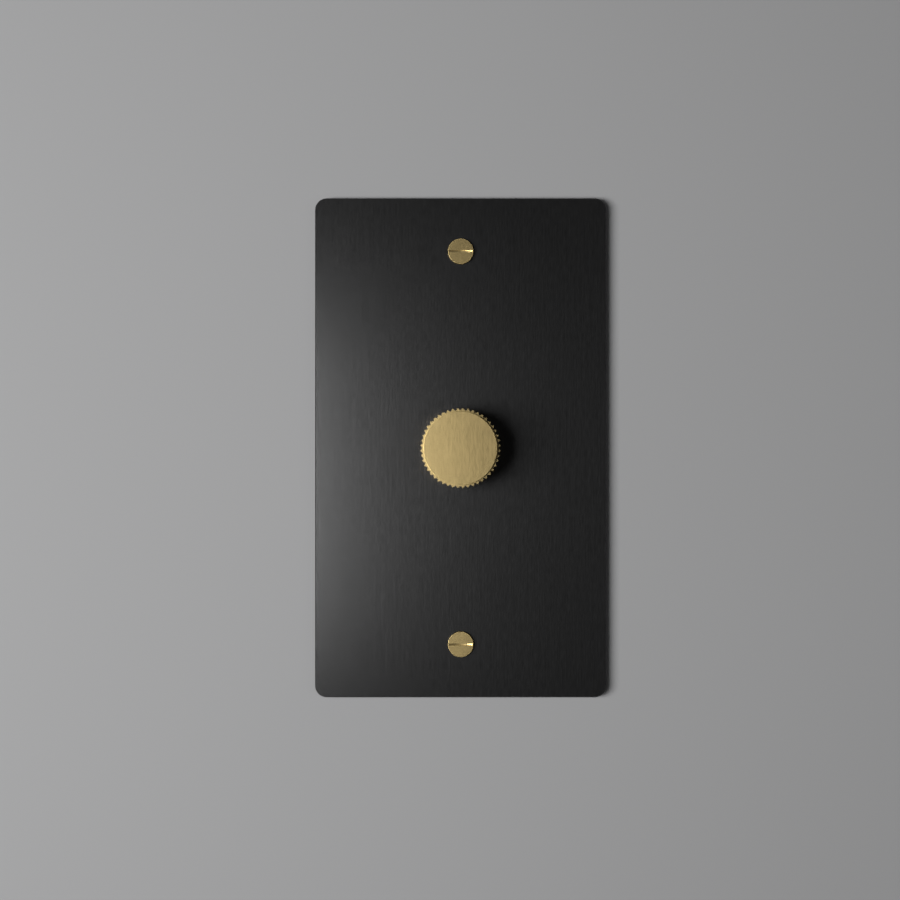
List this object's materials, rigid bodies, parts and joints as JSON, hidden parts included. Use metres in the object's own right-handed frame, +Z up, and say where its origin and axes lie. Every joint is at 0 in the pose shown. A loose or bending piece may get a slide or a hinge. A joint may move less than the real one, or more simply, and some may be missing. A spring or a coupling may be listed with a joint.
{
  "type": "rotary wall dimmer switch",
  "caption": "One-gang wall dimmer: flat black metal plate, round toothed brass knob that turns and pushes, slotted plate screws, strap and rear housing.",
  "frame": {"origin": "on the knob's axis in the plane of the wall, which is the plane of the plate's rear rim", "axes": "+Z up along the plate's long side, +Y into the wall, -Y out towards the user, +X to the user's right"},
  "size_m": [0.072, 0.0519, 0.1232],
  "materials": {
    "black_metal": "vertically brushed, satin black",
    "brass": "vertically brushed, satin",
    "brass_bright": "turned, bright",
    "zinc_steel": "zinc plated",
    "nickel": "nickel plated",
    "green_steel": "green passivated",
    "aluminium": "rolled",
    "dark_plastic": "fine moulded grain",
    "grey_plastic": "moulded",
    "white_plastic": "moulded",
    "insulation": "pressed fibre sheet",
    "board": "solder resist on glass fibre",
    "track": "carbon film on laminate",
    "tinned": "tin plated",
    "copper": "enamelled copper",
    "ferrite": "sintered",
    "epoxy": "moulded epoxy",
    "film_case": "moulded case",
    "can_sleeve": "shrunk sleeve",
    "resistor_body": "lacquered",
    "silicone": "silicone pad"
  },
  "bodies": {
    "base": {"face_plate": "black_metal", "plate_screws": "brass", "mounting_strap": "zinc_steel", "ground_screw": "green_steel", "shaft_nut": "nickel", "lock_washer": "zinc_steel", "heat_spreader": "aluminium", "insulating_sheet": "insulation", "potentiometer_bushing": "nickel", "potentiometer_case": "grey_plastic", "resistance_track": "track", "potentiometer_terminals": "tinned", "circuit_board": "board", "switch_case": "grey_plastic", "switch_fixed_contacts": "copper", "return_spring": "zinc_steel", "rear_housing": "dark_plastic", "housing_screws": "zinc_steel", "terminal_plates": "brass_bright", "clamp_plates": "zinc_steel", "terminal_screws": "brass_bright", "thermal_pad": "silicone", "power_device_body": "epoxy", "power_device_metal": "tinned", "power_device_screw": "zinc_steel", "choke_core": "ferrite", "choke_winding": "copper", "bulk_capacitor": "can_sleeve", "film_capacitor": "film_case", "fuse": "epoxy", "control_chip": "epoxy", "resistors": "resistor_body"},
    "rotor": {"wiper_rotor": "white_plastic", "wiper_contact": "brass_bright"},
    "knob_shaft": {"knob": "brass", "knob_grub_screw": "zinc_steel", "control_shaft": "nickel", "shaft_retaining_ring": "zinc_steel"},
    "plunger": {"switch_plunger": "white_plastic", "switch_bridge": "copper"}
  },
  "joints": [
    {"name": "dim_turn", "type": "hinge", "parent": "base", "child": "rotor", "pos_m": [0, 0, 0], "axis": [0, 1, 0], "range_deg": [-135, 135]},
    {"name": "knob_push", "type": "slide", "parent": "rotor", "child": "knob_shaft", "axis": [0, 1, 0], "range_m": [0, 0.0015], "stiffness_N_per_m": 1500, "springref_m": -0.0015, "deforming": ["return_spring"]},
    {"name": "plunger_push", "type": "slide", "parent": "base", "child": "plunger", "axis": [0, 1, 0], "range_m": [0, 0.0015]}
  ],
  "couplings": [
    {"joint": "plunger_push", "follows": "knob_push", "ratio": 1}
  ]
}
